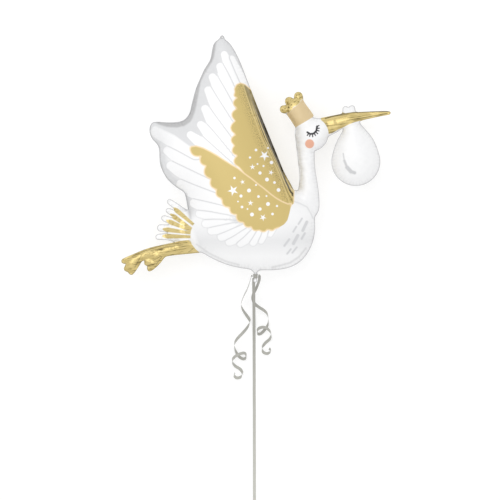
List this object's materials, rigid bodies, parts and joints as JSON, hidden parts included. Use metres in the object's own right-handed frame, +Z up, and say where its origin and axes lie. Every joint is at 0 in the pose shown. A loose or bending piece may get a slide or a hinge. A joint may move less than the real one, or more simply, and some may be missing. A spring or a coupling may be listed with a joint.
{
  "type": "stork foil balloon",
  "caption": "Inflated foil balloon shaped as a flying stork with a crown and a bundle in its beak, lying flat, with curling ribbon tied to its filling tail.",
  "frame": {"origin": "centre of the balloon's bounding box in plan, at the surface it lies on; the ribbons are left out", "axes": "+X from the legs towards the beak, +Y towards the raised wing tips, +Z up out of the printed side"},
  "size_m": [0.898, 1.658, 0.2293],
  "materials": {
    "printed_foil": "metallised film, pearl white print with satin gold",
    "ribbon": "satin curling ribbon"
  },
  "bodies": {
    "root": {"foil_balloon": "printed_foil", "tail_knot": "ribbon", "long_ribbon": "ribbon", "end_knot": "ribbon", "hand_loop": "ribbon", "left_curl": "ribbon", "right_curl": "ribbon"}
  },
  "joints": []
}
